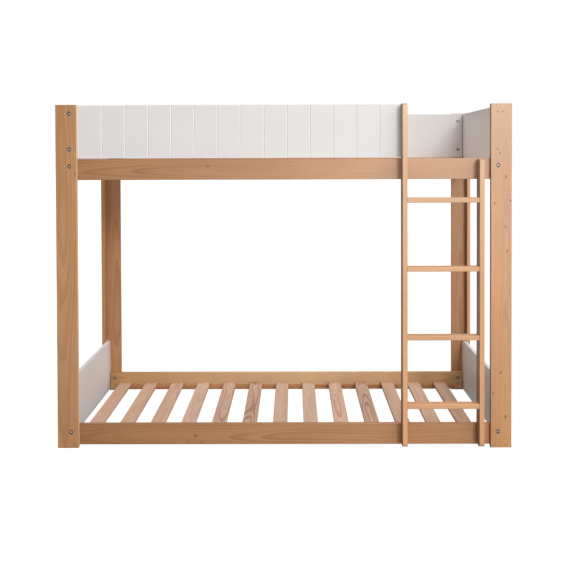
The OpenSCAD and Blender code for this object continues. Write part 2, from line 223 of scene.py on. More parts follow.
# The world lights the bed softly and shows as plain white behind it.
def makeWorld(s):
    world = bpy.data.worlds.new("studioWorld")
    world.use_nodes = True
    tree = world.node_tree
    tree.nodes.clear()
    out = tree.nodes.new("ShaderNodeOutputWorld")
    mix = tree.nodes.new("ShaderNodeMixShader")
    soft = tree.nodes.new("ShaderNodeBackground")
    shown = tree.nodes.new("ShaderNodeBackground")
    x, y, z = split(tree, tree.nodes.new("ShaderNodeTexCoord").outputs["Generated"])
    strength = calc(tree, "MULTIPLY_ADD", calc(tree, "MAXIMUM", x, 0), s["right"], s["even"])
    high = calc(tree, "MAXIMUM", z, 0)
    strength = calc(tree, "MULTIPLY_ADD", calc(tree, "MULTIPLY", high, high), s["above"], strength)
    strength = calc(tree, "MULTIPLY_ADD", calc(tree, "MINIMUM", y, 0), -s["front"], strength)
    soft.inputs["Color"].default_value = (*s["colour"], 1)
    plug(tree, strength, soft.inputs["Strength"])
    shown.inputs["Color"].default_value = (1, 1, 1, 1)
    plug(tree, tree.nodes.new("ShaderNodeLightPath").outputs["Is Camera Ray"], mix.inputs["Fac"])
    plug(tree, soft.outputs["Background"], mix.inputs[1])
    plug(tree, shown.outputs["Background"], mix.inputs[2])
    plug(tree, mix.outputs["Shader"], out.inputs["Surface"])
    scene.world = world


makeWorld(worldSet)

floorSet = {
    "radius": 60.0, "glow": 0.93, "paper": (0.55, 0.54, 0.53),
    "mottleScale": 3.0, "mottleLow": 0.20, "mottleHigh": 0.24,
}


# A white sweep: it glows white to the camera and still takes a faint contact shadow.
def makeFloor(s):
    bm = bmesh.new()
    bmesh.ops.create_circle(bm, cap_ends=True, segments=64, radius=s["radius"])
    mesh = bpy.data.meshes.new("studioFloor")
    bm.to_mesh(mesh)
    bm.free()
    floor = bpy.data.objects.new("studioFloor", mesh)
    scene.collection.objects.link(floor)
    mat = bpy.data.materials.new("sweepPaper")
    mat.use_nodes = True
    tree = mat.node_tree
    tree.nodes.clear()
    out = tree.nodes.new("ShaderNodeOutputMaterial")
    path = tree.nodes.new("ShaderNodeLightPath")
    paper = tree.nodes.new("ShaderNodeBsdfDiffuse")
    seen = tree.nodes.new("ShaderNodeBsdfDiffuse")
    glow = tree.nodes.new("ShaderNodeEmission")
    add = tree.nodes.new("ShaderNodeAddShader")
    mix = tree.nodes.new("ShaderNodeMixShader")
    mottle = tree.nodes.new("ShaderNodeTexNoise")
    ramp = tree.nodes.new("ShaderNodeMapRange")
    coords = tree.nodes.new("ShaderNodeTexCoord")
    mottle.inputs["Scale"].default_value = s["mottleScale"]
    ramp.inputs["To Min"].default_value = s["mottleLow"]
    ramp.inputs["To Max"].default_value = s["mottleHigh"]
    paper.inputs["Color"].default_value = (*s["paper"], 1)
    glow.inputs["Strength"].default_value = s["glow"]
    plug(tree, coords.outputs["Object"], mottle.inputs["Vector"])
    plug(tree, mottle.outputs["Fac"], ramp.inputs["Value"])
    plug(tree, ramp.outputs["Result"], seen.inputs["Color"])
    plug(tree, glow.outputs["Emission"], add.inputs[0])
    plug(tree, seen.outputs["BSDF"], add.inputs[1])
    plug(tree, path.outputs["Is Camera Ray"], mix.inputs["Fac"])
    plug(tree, paper.outputs["BSDF"], mix.inputs[1])
    plug(tree, add.outputs["Shader"], mix.inputs[2])
    plug(tree, mix.outputs["Shader"], out.inputs["Surface"])
    mesh.materials.append(mat)
    floor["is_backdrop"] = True


makeFloor(floorSet)
print("light, world and floor made")


# Starts a node group. Inputs are a list of (name, kind, value), outputs of (name, kind).
def startGroup(name, inputs, outputs):
    group = bpy.data.node_groups.new(name, "ShaderNodeTree")
    for label, kind, value in inputs:
        socket = group.interface.new_socket(label, in_out="INPUT", socket_type="NodeSocket" + kind)
        if value is not None:
            socket.default_value = value
    for label, kind in outputs:
        group.interface.new_socket(label, in_out="OUTPUT", socket_type="NodeSocket" + kind)
    start = group.nodes.new("NodeGroupInput")
    end = group.nodes.new("NodeGroupOutput")
    return group, start.outputs, end.inputs


def useGroup(tree, group, **values):
    node = tree.nodes.new("ShaderNodeGroup")
    node.node_tree = group
    for key, value in values.items():
        plug(tree, value, node.inputs[key])
    return node.outputs


# Noise stretches go along, across and through a board.
grainSet = {
    "slow": (1.5, 5.0, 5.0), "fine": (14.0, 60.0, 60.0), "fibre": (9.0, 520.0, 520.0),
    "drift": (2.4, 9.0, 9.0), "pores": (42.0, 1300.0, 1300.0), "poreFrom": 0.58, "poreTo": 0.70,
    "ragged": 2.2 * mm, "yearSlide": 2.0, "faintYear": 0.35,
    "lateFrom": 0.25, "lateFull": 0.88, "lateEnd": 0.90,
    "ringHeight": 0.35, "fibreHeight": 0.6, "poreDepth": 0.5,
}


# Growth rings round a pith that lies beside or under the board, with fibres, pores and slow drift
def makeGrainGroup(s):
    g, inp, out = startGroup(
        "sawnGrain",
        [("Place", "Vector", None), ("Seed", "Vector", None), ("Pith", "Vector", (0.0, 0.05, 0.02)),
         ("Spacing", "Float", 0.006), ("Wave", "Float", 0.03), ("Lift", "Float", 0.0)],
        [("Rings", "Float"), ("Fibre", "Float"), ("Drift", "Float"),
         ("Pores", "Float"), ("Height", "Float")],
    )
    seeded = vecCalc(g, "ADD", inp["Place"], inp["Seed"])
    along, across, thick = split(g, inp["Place"])
    pithAcross, pithDepth, pithTilt = split(g, inp["Pith"])
    slow = noise(g, stretch(g, seeded, s["slow"]), detail=1.5, out="Color")
    slowA, slowB, slowC = split(g, vecCalc(g, "SUBTRACT", slow, (0.5, 0.5, 0.5)))
    fine = calc(g, "SUBTRACT", noise(g, stretch(g, seeded, s["fine"])), 0.5)
    depth = calc(g, "ADD", calc(g, "ADD", pithDepth, thick), calc(g, "MULTIPLY", pithTilt, along))
    depth = calc(g, "MULTIPLY_ADD", slowA, inp["Wave"], depth)
    side = calc(g, "MULTIPLY_ADD", slowB, inp["Wave"], calc(g, "SUBTRACT", across, pithAcross))
    squares = calc(g, "ADD", calc(g, "MULTIPLY", side, side), calc(g, "MULTIPLY", depth, depth))
    radius = calc(g, "ADD", calc(g, "SQRT", squares), inp["Lift"])
    radius = calc(g, "MULTIPLY_ADD", fine, s["ragged"], radius)
    phase = calc(g, "DIVIDE", radius, inp["Spacing"])
    phase = calc(g, "MULTIPLY_ADD", slowC, s["yearSlide"], phase)
    ring = calc(g, "FRACT", phase)
    rise = ease(g, ring, s["lateFrom"], s["lateFull"])
    late = calc(g, "MULTIPLY", rise, ease(g, ring, s["lateEnd"], 1.0, 1.0, 0.0))
    year = g.nodes.new("ShaderNodeTexWhiteNoise")
    year.noise_dimensions = "1D"
    plug(g, calc(g, "FLOOR", phase), year.inputs["W"])
    late = calc(g, "MULTIPLY", late, ease(g, year.outputs["Value"], 0.0, 1.0, s["faintYear"], 1.0))
    fibre = noise(g, stretch(g, seeded, s["fibre"]), detail=3.0, rough=0.6)
    drift = noise(g, stretch(g, seeded, s["drift"]), rough=0.45)
    pores = noise(g, stretch(g, seeded, s["pores"]), rough=0.6)
    pores = ease(g, pores, s["poreFrom"], s["poreTo"])
    height = calc(g, "MULTIPLY_ADD", late, s["ringHeight"], calc(g, "MULTIPLY", fibre, s["fibreHeight"]))
    height = calc(g, "SUBTRACT", height, calc(g, "MULTIPLY", pores, s["poreDepth"]))
    results = {"Rings": late, "Fibre": fibre, "Drift": drift, "Pores": pores, "Height": height}
    for label, value in results.items():
        plug(g, value, out[label])
    return g


arrisSet = {"wearScale": 38.0, "leastWear": 0.25, "mostWear": 1.2, "endFrom": 0.4 * mm, "endTo": 1.2 * mm}


# How near a point is to an arris or to an end of its board, broken up so that the rougher wear and the
# painted shading along arrises look uneven, and how deep it lies below the board's faces
def makeArrisGroup(s):
    g, inp, out = startGroup(
        "boardArris",
        [("Place", "Vector", None), ("Half", "Vector", None), ("Seed", "Vector", None),
         ("Width", "Float", 0.004)],
        [("Arris", "Float"), ("End", "Float"), ("Depth", "Float")],
    )
    gap = vecCalc(g, "SUBTRACT", inp["Half"], vecCalc(g, "ABSOLUTE", inp["Place"]))
    a, b, c = split(g, gap)
    lesser = calc(g, "MINIMUM", a, b)
    middle = calc(g, "MAXIMUM", lesser, calc(g, "MINIMUM", calc(g, "MAXIMUM", a, b), c))
    wornAndShaded = noise(g, vecCalc(g, "ADD", inp["Place"], inp["Seed"]), s["wearScale"], 3.0, 0.6)
    reach = calc(g, "MULTIPLY", inp["Width"], ease(g, wornAndShaded, 0.3, 0.7, s["leastWear"], s["mostWear"]))
    plug(g, ease(g, calc(g, "DIVIDE", middle, reach), 0.0, 1.0, 1.0, 0.0), out["Arris"])
    plug(g, ease(g, a, s["endFrom"], s["endTo"], 1.0, 0.0), out["End"])
    plug(g, calc(g, "MINIMUM", lesser, c), out["Depth"])
    return g


# Distances are in knot radii, apart from the wobble of the outline.
knotSet = {
    "along": 0.8, "wobbleScale": 160.0, "wobble": 2 * mm, "coreFrom": 0.55, "coreTo": 1.1,
    "rimFrom": 0.7, "rimFull": 0.95, "rimFade": 1.0, "rimTo": 1.35, "flow": 0.16, "lift": 1.3,
}


# One knot: a dark core with a darker rim, and the lift that makes the rings flow round it
def makeKnotGroup(s):
    g, inp, out = startGroup(
        "knot",
        [("Place", "Vector", None), ("Spot", "Vector", None), ("Radius", "Float", 0.005)],
        [("Core", "Float"), ("Rim", "Float"), ("Lift", "Float")],
    )
    off = stretch(g, vecCalc(g, "SUBTRACT", inp["Place"], inp["Spot"]), (s["along"], 1.0, 0.0))
    wobble = noise(g, inp["Place"], s["wobbleScale"], out="Color")
    wobble = vecCalc(g, "SUBTRACT", wobble, (0.5, 0.5, 0.5))
    off = vecCalc(g, "ADD", off, vecCalc(g, "SCALE", wobble, scale=s["wobble"]))
    near = calc(g, "DIVIDE", vecCalc(g, "LENGTH", off), inp["Radius"])
    plug(g, ease(g, near, s["coreFrom"], s["coreTo"], 1.0, 0.0), out["Core"])
    rise = ease(g, near, s["rimFrom"], s["rimFull"])
    plug(g, calc(g, "MULTIPLY", rise, ease(g, near, s["rimFade"], s["rimTo"], 1.0, 0.0)), out["Rim"])
    fall = calc(g, "EXPONENT", calc(g, "MULTIPLY", calc(g, "MULTIPLY", near, near), -s["flow"]))
    plug(g, calc(g, "MULTIPLY", fall, calc(g, "MULTIPLY", inp["Radius"], s["lift"])), out["Lift"])
    return g


paintSet = {"peel": 620.0, "bands": (30.0, 260.0, 30.0), "uneven": (2.0, 5.0, 5.0), "speck": 240.0}


# Rolled satin paint: orange peel, faint roller bands and slow unevenness
def makePaintGroup(s):
    g, inp, out = startGroup(
        "rolledPaint",
        [("Place", "Vector", None), ("Seed", "Vector", None)],
        [("Peel", "Float"), ("Uneven", "Float"), ("Speck", "Float")],
    )
    seeded = vecCalc(g, "ADD", inp["Place"], inp["Seed"])
    bands = noise(g, stretch(g, seeded, s["bands"]))
    plug(g, calc(g, "MULTIPLY_ADD", bands, 0.5, noise(g, seeded, s["peel"])), out["Peel"])
    plug(g, noise(g, stretch(g, seeded, s["uneven"]), detail=3.0), out["Uneven"])
    plug(g, ease(g, noise(g, seeded, s["speck"], rough=0.6), 0.70, 0.78), out["Speck"])
    return g


zincSet = {"cloud": 260.0, "marks": (700.0, 5200.0, 5200.0), "spots": 900.0}


# Zinc plate: cloudy patches, fine tool marks and small dull spots
def makeZincGroup(s):
    g, inp, out = startGroup(
        "zincPlate",
        [("Place", "Vector", None), ("Scale", "Float", 1.0)],
        [("Cloud", "Float"), ("Marks", "Float"), ("Spots", "Float")],
    )
    place = vecCalc(g, "SCALE", inp["Place"], scale=inp["Scale"])
    plug(g, noise(g, place, s["cloud"], 3.0, 0.6), out["Cloud"])
    plug(g, noise(g, stretch(g, place, s["marks"])), out["Marks"])
    plug(g, ease(g, noise(g, place, s["spots"]), 0.62, 0.72), out["Spots"])
    return g


grainGroup = makeGrainGroup(grainSet)
arrisGroup = makeArrisGroup(arrisSet)
knotGroup = makeKnotGroup(knotSet)
paintGroup = makePaintGroup(paintSet)
zincGroup = makeZincGroup(zincSet)


def startMaterial(name):
    mat = bpy.data.materials.new(name)
    mat.use_nodes = True
    tree = mat.node_tree
    shader = next(n for n in tree.nodes if n.type == "BSDF_PRINCIPLED")
    return mat, tree, shader


def addBump(tree, shader, height, strength, distance):
    node = tree.nodes.new("ShaderNodeBump")
    node.inputs["Strength"].default_value = strength
    node.inputs["Distance"].default_value = distance
    plug(tree, height, node.inputs["Height"])
    plug(tree, node.outputs["Normal"], shader.inputs["Normal"])


# The dark rim round a bolt is painted shade of its recess.
boltShadeRadius = 9.6 * mm  # radius of the dark rim round a bolt


# How much a point lies in the painted shade round a recessed bolt head
def sinkShadeMask(tree, place, sinks):
    mask = 0.0
    for along, across in sinks:
        sink = useGroup(tree, knotGroup, Place=place, Spot=(along, across, 0.0), Radius=boltShadeRadius)
        mask = calc(tree, "MAXIMUM", mask, sink["Core"])
    return mask


# What all the pine has in common. Faces that look to -X take a painted shade, faces that look to +X a
# painted highlight.
pineSet = {
    "knot": (0.250, 0.110, 0.038), "knotShare": 0.80,
    "knotRim": (0.110, 0.045, 0.015), "knotRimShare": 0.90,
    "leftSide": (0.085, 0.028, 0.008), "leftShare": 0.0,
    "rightSide": (0.920, 0.680, 0.440), "rightShare": 0.0,
    "hole": (0.020, 0.010, 0.005), "holeShare": 0.9, "boltRimShare": 0.95,
    "poreValue": 0.86, "endValue": 0.62, "drift": 0.07, "fibre": 0.035, "rough": 0.44, "bump": 0.35,
}


# Lacquered sawn wood. The board's own attributes say where a point lies in its board.
def makeWood(name, s, knots=(), sinks=()):
    mat, tree, shader = startMaterial(name)
    place = attribute(tree, "boardPlace")
    half = attribute(tree, "boardHalf")
    seed = attribute(tree, "boardSeed")
    pith = attribute(tree, "boardPith")
    core, rim, lift = None, None, None
    for along, across, radius in knots:
        knot = useGroup(tree, knotGroup, Place=place, Spot=(along, across, 0.0), Radius=radius)
        if core is None:
            core, rim, lift = knot["Core"], knot["Rim"], knot["Lift"]
        else:
            core = calc(tree, "MAXIMUM", core, knot["Core"])
            rim = calc(tree, "MAXIMUM", rim, knot["Rim"])
            lift = calc(tree, "ADD", lift, knot["Lift"])
    grain = useGroup(
        tree, grainGroup, Place=place, Seed=seed, Pith=pith,
        Spacing=s["spacing"], Wave=s["wave"], Lift=lift,
    )
    edge = useGroup(tree, arrisGroup, Place=place, Half=half, Seed=seed, Width=s["arrisWidth"])
    toneValue, tonePaleAndSheen, toneBow = split(tree, attribute(tree, "boardTone"))
    # Paler wood with a painted sheen, as much as the board's tone gives
    haze = calc(tree, "MULTIPLY_ADD", toneBow, bowAlong(tree, place, half), tonePaleAndSheen)

    ringShare = calc(tree, "MULTIPLY", grain["Rings"], s["ringShare"])
    colour = mixColour(tree, ringShare, s["pale"], s["dark"])
    colour = mixColour(tree, haze, colour, s["haze"])
    drift = ease(tree, grain["Drift"], 0.25, 0.75, 1.0 - s["drift"], 1.0 + s["drift"])
    fibre = ease(tree, grain["Fibre"], 0.25, 0.75, 1.0 - s["fibre"], 1.0 + s["fibre"])
    # Brightness: partly the wood's own tone, partly painted light falloff and shade
    value = calc(tree, "MULTIPLY", calc(tree, "MULTIPLY", toneValue, drift), fibre)
    value = calc(tree, "MULTIPLY", value, ease(tree, grain["Pores"], 0.0, 1.0, 1.0, s["poreValue"]))
    value = calc(tree, "MULTIPLY", value, ease(tree, edge["End"], 0.0, 1.0, 1.0, s["endValue"]))
    colour = brighten(tree, colour, value)
    # Painted shade along the arrises
    colour = tint(tree, colour, edge["Arris"], s["arrisShare"], s["arris"])
    if core is not None:
        colour = tint(tree, colour, core, s["knotShare"], s["knot"])
        colour = tint(tree, colour, rim, s["knotRimShare"], s["knotRim"])
    facing = facingRight(tree)
    # Painted shade on faces that look to -X
    if s["leftShare"]:
        colour = tint(tree, colour, ease(tree, facing, -0.8, -0.5, 1.0, 0.0), s["leftShare"], s["leftSide"])
    # Painted highlight on faces that look to +X
    if s["rightShare"]:
        colour = tint(tree, colour, ease(tree, facing, 0.5, 0.8), s["rightShare"], s["rightSide"])
    # Painted shade in holes and recesses more than 1 to 2 mm deep
    inHole = ease(tree, edge["Depth"], 1 * mm, 2 * mm)
    colour = tint(tree, colour, inHole, s["holeShare"], s["hole"])
    # Painted shade round the recessed bolt heads
    if sinks:
        colour = tint(tree, colour, sinkShadeMask(tree, place, sinks), s["boltRimShare"], s["hole"])
    plug(tree, colour, shader.inputs["Base Color"])
    rough = ease(tree, grain["Fibre"], 0.2, 0.8, s["rough"] + 0.05, s["rough"] - 0.04)
    rough = calc(tree, "MULTIPLY_ADD", edge["Arris"], 0.08, rough)
    plug(tree, rough, shader.inputs["Roughness"])
    shader.inputs["Specular IOR Level"].default_value = s["sheen"]
    addBump(tree, shader, grain["Height"], s["bump"], 0.3 * mm)
    return mat


# White satin paint on a panel, with painted light and painted shade on its groove walls and a painted
# highlight along its arrises
def makeWhite(name, s, sinks=()):
    mat, tree, shader = startMaterial(name)
    place = attribute(tree, "boardPlace")
    half = attribute(tree, "boardHalf")
    seed = attribute(tree, "boardSeed")
    paint = useGroup(tree, paintGroup, Place=place, Seed=seed)
    edge = useGroup(tree, arrisGroup, Place=place, Half=half, Seed=seed, Width=s["arrisWidth"])
    toneValue, _, toneBow = split(tree, attribute(tree, "boardTone"))
    # Painted light falloff along the panel, with a bow that leaves its ends in painted shade
    toneValue = calc(tree, "MULTIPLY_ADD", toneBow, bowAlong(tree, place, half), toneValue)
    value = ease(tree, paint["Uneven"], 0.25, 0.75, 1.0 - s["uneven"], 1.0 + s["uneven"])
    value = calc(tree, "MULTIPLY", value, toneValue)
    value = calc(tree, "MULTIPLY", value, ease(tree, paint["Speck"], 0.0, 1.0, 1.0, s["speckValue"]))
    colour = brighten(tree, s["colour"], value)
    # Painted highlight along the arrises
    colour = tint(tree, colour, edge["Arris"], s["arrisShare"], s["arris"])
    facing = facingRight(tree)
    sunk = ease(tree, edge["Depth"], 0.1 * mm, 0.4 * mm)
    litWall = calc(tree, "MULTIPLY", ease(tree, facing, 0.3, 0.5), sunk)
    dimWall = calc(tree, "MULTIPLY", ease(tree, facing, -0.5, -0.3, 1.0, 0.0), sunk)
    colour = tint(tree, colour, litWall, s["litShare"], s["litWall"])
    colour = tint(tree, colour, dimWall, s["dimShare"], s["dimWall"])
    # Painted shade round the recessed bolt heads
    if sinks:
        colour = tint(tree, colour, sinkShadeMask(tree, place, sinks), s["sinkShare"], s["sink"])
    plug(tree, colour, shader.inputs["Base Color"])
    rough = ease(tree, paint["Uneven"], 0.2, 0.8, s["rough"] - 0.05, s["rough"] + 0.05)
    plug(tree, rough, shader.inputs["Roughness"])
    addBump(tree, shader, paint["Peel"], s["bump"], 0.2 * mm)
    return mat


# Zinc plated steel. The turned heads' own attribute gives each point's radius and depth; a painted shade
# darkens each head's outer ring and its socket.
def makeSteel(name, s):
    mat, tree, shader = startMaterial(name)
    coords = tree.nodes.new("ShaderNodeTexCoord").outputs["Object"]
    zinc = useGroup(tree, zincGroup, Place=coords, Scale=s["scale"])
    colour = mixColour(tree, ease(tree, zinc["Cloud"], 0.3, 0.7), s["colour"], s["cloud"])
    colour = tint(tree, colour, zinc["Spots"], s["spotShare"], s["spot"])
    radius, depth, _ = split(tree, attribute(tree, "turnedPlace"))
    # Painted shade on each head's outer ring and down in its socket
    ring = ease(tree, radius, s["ringFrom"], s["ringFrom"] + s["ringWidth"])
    sunk = ease(tree, depth, s["sunkFrom"], s["sunkTo"])
    colour = tint(tree, colour, calc(tree, "MAXIMUM", ring, sunk), s["ringShare"], s["ring"])
    plug(tree, colour, shader.inputs["Base Color"])
    shader.inputs["Metallic"].default_value = s["metallic"]
    rough = ease(tree, zinc["Cloud"], 0.2, 0.8, s["rough"] - 0.06, s["rough"] + 0.10)
    plug(tree, calc(tree, "MULTIPLY_ADD", zinc["Spots"], 0.15, rough), shader.inputs["Roughness"])
    addBump(tree, shader, zinc["Marks"], 0.25, 0.05 * mm)
    return mat


mergeWithin = 0.01 * mm
flatWithin = math.radians(0.5)
sharpFrom = math.radians(40)
narrowFace = 1.6 * mm  # narrower faces are shaded smooth


def mergedCopy(node):
    bm = bmesh.new()
    bm.from_mesh(cadNodes[node].data)
    bmesh.ops.remove_doubles(bm, verts=bm.verts, dist=mergeWithin)
    return bm


# Merges a copy of a CAD node, clears its flat faces, eases its sharp rims and shades its curves.
def easedCopy(node, easeBy):
    bm = mergedCopy(node)
    bmesh.ops.dissolve_limit(bm, angle_limit=flatWithin, verts=bm.verts, edges=bm.edges)
    whole = bm.copy()
    sharp = [e for e in bm.edges if len(e.link_faces) == 2 and e.calc_face_angle(0) > sharpFrom]
    bmesh.ops.bevel(
        bm, geom=sharp, offset=easeBy, offset_type="OFFSET", affect="EDGES",
        segments=2, profile=0.5, material=-1, clamp_overlap=True,
    )
    if any(len(e.link_faces) != 2 for e in bm.edges):
        print("kept unbevelled:", node)
        bm.free()
        bm = whole
    else:
        whole.free()
    bmesh.ops.recalc_face_normals(bm, faces=bm.faces)
    for face in bm.faces:
        width = 2 * face.calc_area() / max(face.calc_perimeter(), 1e-9)
        face.smooth = width < narrowFace
    for edge in bm.edges:
        edge.smooth = edge.calc_face_angle(0) < sharpFrom
    return bm


# The separate solids of a CAD node, as (head centre, direction into the wood, length)
def fastenerPlaces(node):
    bm = mergedCopy(node)
    left = set(bm.verts)
    places = []
    while left:
        batch = [left.pop()]
        points = []
        while batch:
            vert = batch.pop()
            points.append(vert.co.copy())
            for edge in vert.link_edges:
                other = edge.other_vert(vert)
                if other in left:
                    left.remove(other)
                    batch.append(other)
        low = Vector([min(p[i] for p in points) for i in range(3)])
        high = Vector([max(p[i] for p in points) for i in range(3)])
        size = high - low
        axis = max(range(3), key=lambda i: size[i])
        middle = (low + high) / 2
        around = [i for i in range(3) if i != axis]
        spread = []
        for end in (low[axis], high[axis]):
            rim = [p for p in points if abs(p[axis] - end) < 0.2 * mm]
            spread.append(max(math.hypot(*(p[i] - middle[i] for i in around)) for p in rim))
        top = 0 if spread[0] > spread[1] else 1
        middle[axis] = (low, high)[top][axis]
        into = Vector((0, 0, 0))
        into[axis] = 1 - 2 * top
        places.append((middle, into, size[axis]))
    bm.free()
    return sorted(places, key=lambda p: tuple(round(x, 4) for x in p[0]))


# A CAD node's middle, its size and its axes from the longest to the shortest
def boardAxes(node):
    low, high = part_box(node)
    size = high - low
    return (low + high) / 2, size, sorted(range(3), key=lambda i: -size[i])


boltReach = 50 * mm  # a bolt whose head lies further from the board's middle is in another board


# Where bolts pass through a board, as (along, across) from its middle
def sinksOn(node):
    middle, size, order = boardAxes(node)
    found = []
    for top, into, _ in fastenerPlaces("frame_bolts"):
        off = top - middle
        along, across, thick = (off[i] for i in order)
        inside = abs(along) < size[order[0]] / 2 and abs(across) < size[order[1]] / 2
        if inside and abs(into[order[2]]) > 0.9 and abs(thick) < boltReach:
            found.append((along, across))
    return found


def camelName(node):
    first, *rest = node.split("_")
    return first + "".join(word.capitalize() for word in rest)


def addVectors(mesh, name, values):
    layer = mesh.attributes.new(name, "FLOAT_VECTOR", "POINT")
    layer.data.foreach_set("vector", [x for v in values for x in v])


# Puts a finished mesh in the scene in place of its CAD node.
def addPiece(name, mesh, mat, node):
    piece = bpy.data.objects.new(name, mesh)
    scene.collection.objects.link(piece)
    mesh.materials.append(mat)
    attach(piece, "root")
    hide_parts(node)


# Makes one board from its CAD node. Its attributes hold each point's place along, across and through
# the board, the board's half sizes, its seed, its pith and its tone. A tone is the brightness at the
# low and at the high end, the pale-and-sheen share at both ends, and how much the middle bows: in that
# share on wood, in brightness on a white panel. The brightness is partly the wood's own tone and partly
# painted light falloff and shade; the pale-and-sheen share is paler wood with a painted sheen; a white
# panel's bow leaves its ends in painted shade.
def makeBoard(node, mat, easeBy=0.6 * mm, pith=None, tone=(1.0, 1.0, 0.0, 0.0, 0.0)):
    bm = easedCopy(node, easeBy)
    mesh = bpy.data.meshes.new(camelName(node))
    bm.to_mesh(mesh)
    bm.free()
    middle, size, order = boardAxes(node)
    places = [[(v.co - middle)[i] for i in order] for v in mesh.vertices]
    count = len(mesh.vertices)
    seed = [draw.uniform(3, 60) for _ in range(3)]
    if pith is None:
        pith = (draw.uniform(-0.03, 0.03), draw.uniform(0.03, 0.09), draw.uniform(-0.03, 0.03))
    lowValue, highValue, lowPaleAndSheen, highPaleAndSheen, bow = tone
    tones = []
    for place in places:
        t = place[0] / size[order[0]] + 0.5
        tones.append((lowValue + (highValue - lowValue) * t, lowPaleAndSheen + (highPaleAndSheen - lowPaleAndSheen) * t, bow))
    addVectors(mesh, "boardPlace", places)
    addVectors(mesh, "boardHalf", [[size[i] / 2 for i in order]] * count)
    addVectors(mesh, "boardSeed", [seed] * count)
    addVectors(mesh, "boardPith", [pith] * count)
    addVectors(mesh, "boardTone", tones)
    addPiece(camelName(node), mesh, mat, node)


postSet = {
    **pineSet,
    "pale": (0.600, 0.300, 0.118), "dark": (0.460, 0.190, 0.058), "haze": (0.640, 0.400, 0.250),
    "arris": (0.300, 0.125, 0.040), "arrisWidth": 3.0 * mm, "arrisShare": 0.75,
    "spacing": 7.5 * mm, "wave": 0.035, "ringShare": 0.72, "sheen": 0.9,
    "knots": {
        "post_face_front_right": [
            (0.7175, -0.017, 0.0030), (0.7180, 0.006, 0.0026), (0.556, -0.017, 0.0030),
            (0.536, -0.007, 0.0030), (0.2155, 0.017, 0.0024), (0.1095, 0.027, 0.0032),
            (0.434, 0.020, 0.0034), (0.318, -0.029, 0.0034), (0.330, 0.039, 0.0034),
            (-0.423, -0.002, 0.0038), (-0.514, -0.035, 0.0034), (-0.617, 0.020, 0.0050),
        ],
        "post_face_front_left": [(0.451, 0.038, 0.0034)],
    },
    # Painted shade on the -X faces and painted light on the +X face of some post boards
    "looks": {
        "post_face_front_left": {"rightShare": 0.7},
        "post_face_front_right": {"leftShare": 0.85},
        "post_side_back_right": {"leftShare": 0.85},
    },
    # Post tones: partly the wood's own, partly painted light falloff, shade and sheen
    "tones": {
        "post_face_front_right": (0.97, 1.09, 0.0, 0.68, 0.0),
        "post_face_front_left": (0.77, 0.83, 0.0, 0.0, 0.0),
        "post_face_back_left": (0.88, 0.74, 0.05, 0.0, 0.0),
        "post_face_back_right": (1.02, 0.88, 0.1, 0.1, 0.0),
        "post_side_back_left": (0.84, 0.84, 0.0, 0.0, 0.0),
        "post_side_back_right": (1.08, 1.16, 0.1, 0.6, 0.0),
    },
    "tone": (0.92, 0.92, 0.0, 0.0, 0.0),
}

postWood = makeWood("postPine", postSet)
for postNode in [n for n in cadNodes if n.startswith("post_")]:
    postMat = postWood
    if postNode in postSet["looks"]:
        postLook = {**postSet, **postSet["looks"][postNode]}
        postKnots = postSet["knots"].get(postNode, ())
        postMat = makeWood(camelName(postNode) + "Pine", postLook, postKnots, sinksOn(postNode))
    makeBoard(postNode, postMat, tone=postSet["tones"].get(postNode, postSet["tone"]))
print("posts made")

railSet = {
    **pineSet,
    "pale": (0.580, 0.276, 0.100), "dark": (0.430, 0.165, 0.044), "haze": (0.640, 0.400, 0.250),
    "arris": (0.290, 0.120, 0.040), "arrisWidth": 3.0 * mm, "arrisShare": 0.75,
    "spacing": 8.5 * mm, "wave": 0.040, "ringShare": 0.78, "sheen": 0.65,
    "knots": {
        "rail_lower_front": [(-0.392, -0.008, 0.0048), (-0.424, -0.034, 0.0026), (-0.367, -0.035, 0.0026)],
        "rail_upper_front": [(-0.332, 0.015, 0.0038)],
    },
    "piths": {"rail_upper_front": (-0.010, 0.014, 0.040)},
    # Rail tones: partly the wood's own, partly painted light falloff and sheen
    "tones": {
        "rail_upper_front": (0.66, 1.04, 0.0, 0.90, 0.0), "rail_lower_front": (0.59, 1.02, 0.0, 0.25, 0.0),
        "rail_lower_back": (0.97, 1.12, 0.0, 0.25, 0.60), "rail_upper_back": (1.00, 1.00, 0.0, 0.0, 0.0),
    },
}
backRailSet = {
    **railSet,
    "pale": (0.600, 0.335, 0.135), "dark": (0.500, 0.240, 0.080), "haze": (0.800, 0.580, 0.340),
}
railWood = makeWood("railPine", railSet)
for railNode in [n for n in cadNodes if n.startswith("rail_")]:
    railKnots = railSet["knots"].get(railNode)
    railMat = makeWood(camelName(railNode) + "Pine", railSet, railKnots) if railKnots else railWood
    if railNode == "rail_lower_back":
        railMat = makeWood("backRailPine", backRailSet, sinks=sinksOn(railNode))
    railPith = railSet["piths"].get(railNode)
    makeBoard(railNode, railMat, pith=railPith, tone=railSet["tones"][railNode])

cleatSet = {**railSet, "spacing": 6 * mm, "arrisWidth": 2.5 * mm}
cleatWood = makeWood("cleatPine", cleatSet)
for cleatNode in [n for n in cadNodes if n.startswith("cleat_")]:
    makeBoard(cleatNode, cleatWood, 0.5 * mm)
print("rails and cleats made")

